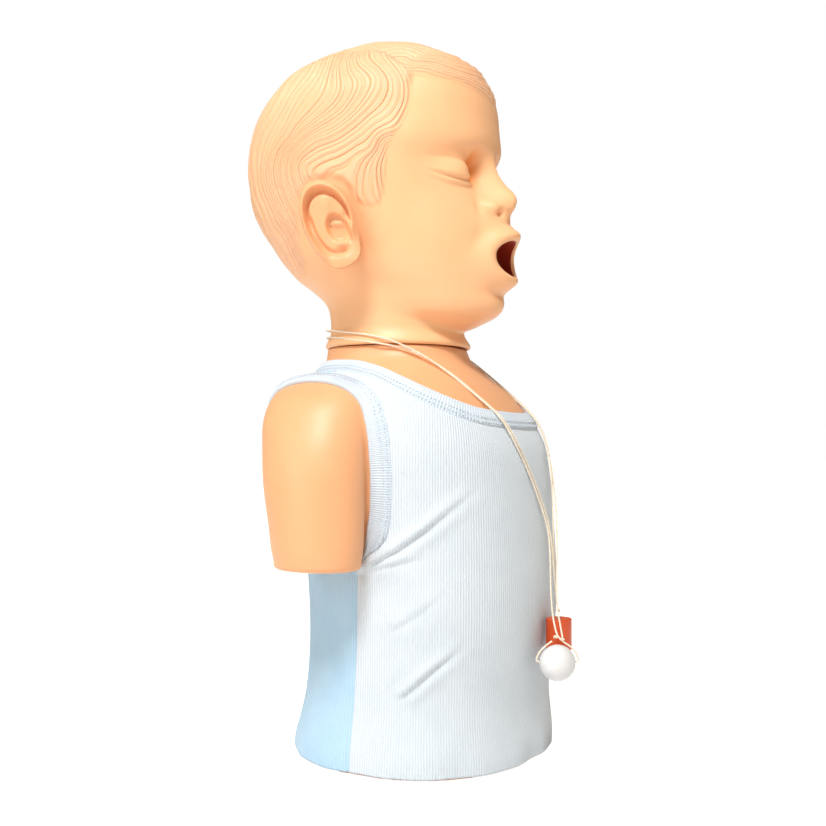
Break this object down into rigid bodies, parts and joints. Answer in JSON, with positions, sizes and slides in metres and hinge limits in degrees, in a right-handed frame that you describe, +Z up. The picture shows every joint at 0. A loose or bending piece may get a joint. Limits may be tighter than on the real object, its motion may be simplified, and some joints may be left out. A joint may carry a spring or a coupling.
{
  "type": "choking child manikin",
  "caption": "Child head and torso for practising abdominal thrusts: turning head with open mouth, air bladder and airway inside, knitted vest, and foreign bodies on strings.",
  "frame": {"origin": "middle of the whole manikin in plan, on the table", "axes": "+Z up, the face looks along -Y, the manikin's right is -X"},
  "size_m": [0.263, 0.254, 0.5],
  "materials": {
    "vinyl": "soft matt skin-coloured vinyl",
    "throat_rubber": "dark red soft rubber",
    "cloth": "pale blue fine rib knit",
    "cloth_rib": "pale blue rib binding",
    "string": "cream cotton string",
    "ball": "white",
    "plug": "glossy red-orange",
    "plate": "light grey",
    "rib": "off-white",
    "bladder": "dark grey rubber",
    "hose": "grey hose",
    "steel": "plain steel"
  },
  "bodies": {
    "torso": {"torso_shell": "vinyl", "neck_ring": "plate", "vest_front": "cloth", "vest_back": "cloth", "neck_binding": "cloth_rib", "armhole_binding_right": "cloth_rib", "armhole_binding_left": "cloth_rib", "ball_cord": "string", "plug_cord": "string", "ball_knots": "string", "plug_knots": "string", "white_ball": "ball", "red_plug": "plug", "airway_hose": "hose", "hose_clip_upper": "steel", "hose_clip_lower": "steel", "bladder_fitting": "plate", "air_bladder": "bladder", "back_board": "plate", "rib_plate": "rib", "base_plate": "plate", "board_screws": "steel", "base_screws": "steel"},
    "head": {"head_shell": "vinyl", "throat_tube": "throat_rubber"}
  },
  "joints": [
    {"name": "head_turn", "type": "hinge", "parent": "torso", "child": "head", "pos_m": [0, 0.014, 0.285], "axis": [0, 0, 1], "range_deg": [-35, 35]}
  ]
}
